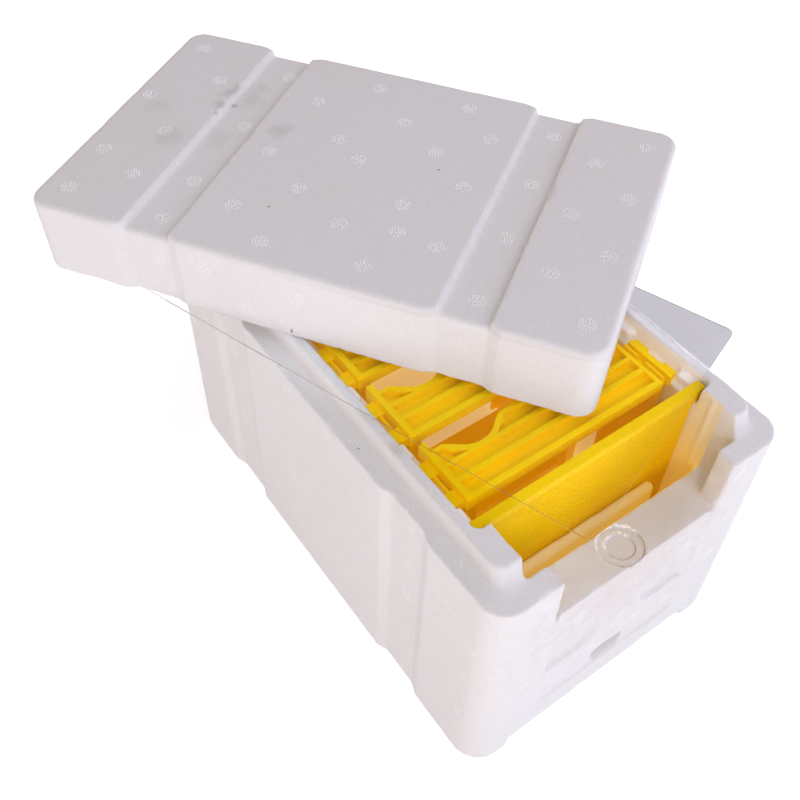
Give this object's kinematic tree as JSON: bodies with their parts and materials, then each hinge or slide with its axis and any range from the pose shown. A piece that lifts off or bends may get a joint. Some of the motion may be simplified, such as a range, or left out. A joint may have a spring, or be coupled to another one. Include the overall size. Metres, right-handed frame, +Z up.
{
  "type": "queen mating nuc box",
  "caption": "Small foam hive box for mating queen bees, with a notched front, a raised rim, hanging comb frames, a divider, a clear cover sheet and a loose lid lying askew.",
  "frame": {"origin": "centre of the plane that the box stands on, midway between its front and back walls and its two side walls", "axes": "+Z up, -Y out of the notched front wall, +X to the right seen from the front"},
  "size_m": [0.2555, 0.3321, 0.1808],
  "materials": {
    "white_foam": "matte",
    "yellow_plastic": "satin",
    "clear_plastic": "gloss"
  },
  "bodies": {
    "box": {"hive_body": "white_foam", "vent_grille": "yellow_plastic"},
    "frame_1": {"frame_1": "yellow_plastic"},
    "frame_2": {"frame_2": "yellow_plastic"},
    "frame_3": {"frame_3": "yellow_plastic"},
    "frame_4": {"frame_4": "yellow_plastic"},
    "frame_5": {"frame_5": "yellow_plastic"},
    "divider": {"divider": "yellow_plastic"},
    "cover_sheet": {"cover_sheet": "clear_plastic"},
    "lid": {"lid": "white_foam"}
  },
  "joints": [
    {"name": "frame_5_lift", "type": "slide", "parent": "box", "child": "frame_5", "axis": [0, 0, 1], "range_m": [0, 0.12]},
    {"name": "frame_4_lift", "type": "slide", "parent": "frame_5", "child": "frame_4", "axis": [0, 0, 1], "range_m": [0, 0.12]},
    {"name": "frame_3_lift", "type": "slide", "parent": "frame_4", "child": "frame_3", "axis": [0, 0, 1], "range_m": [0, 0.12]},
    {"name": "frame_2_lift", "type": "slide", "parent": "frame_3", "child": "frame_2", "axis": [0, 0, 1], "range_m": [0, 0.12]},
    {"name": "frame_1_lift", "type": "slide", "parent": "frame_2", "child": "frame_1", "axis": [0, 0, 1], "range_m": [0, 0.12]},
    {"name": "divider_lift", "type": "slide", "parent": "frame_1", "child": "divider", "axis": [0, 0, 1], "range_m": [0, 0.12]},
    {"name": "cover_sheet_lift", "type": "slide", "parent": "divider", "child": "cover_sheet", "axis": [0, 0, 1], "range_m": [0, 0.06]},
    {"name": "lid_lift", "type": "slide", "parent": "cover_sheet", "child": "lid", "axis": [0, 0, 1], "range_m": [0, 0.15]}
  ]
}
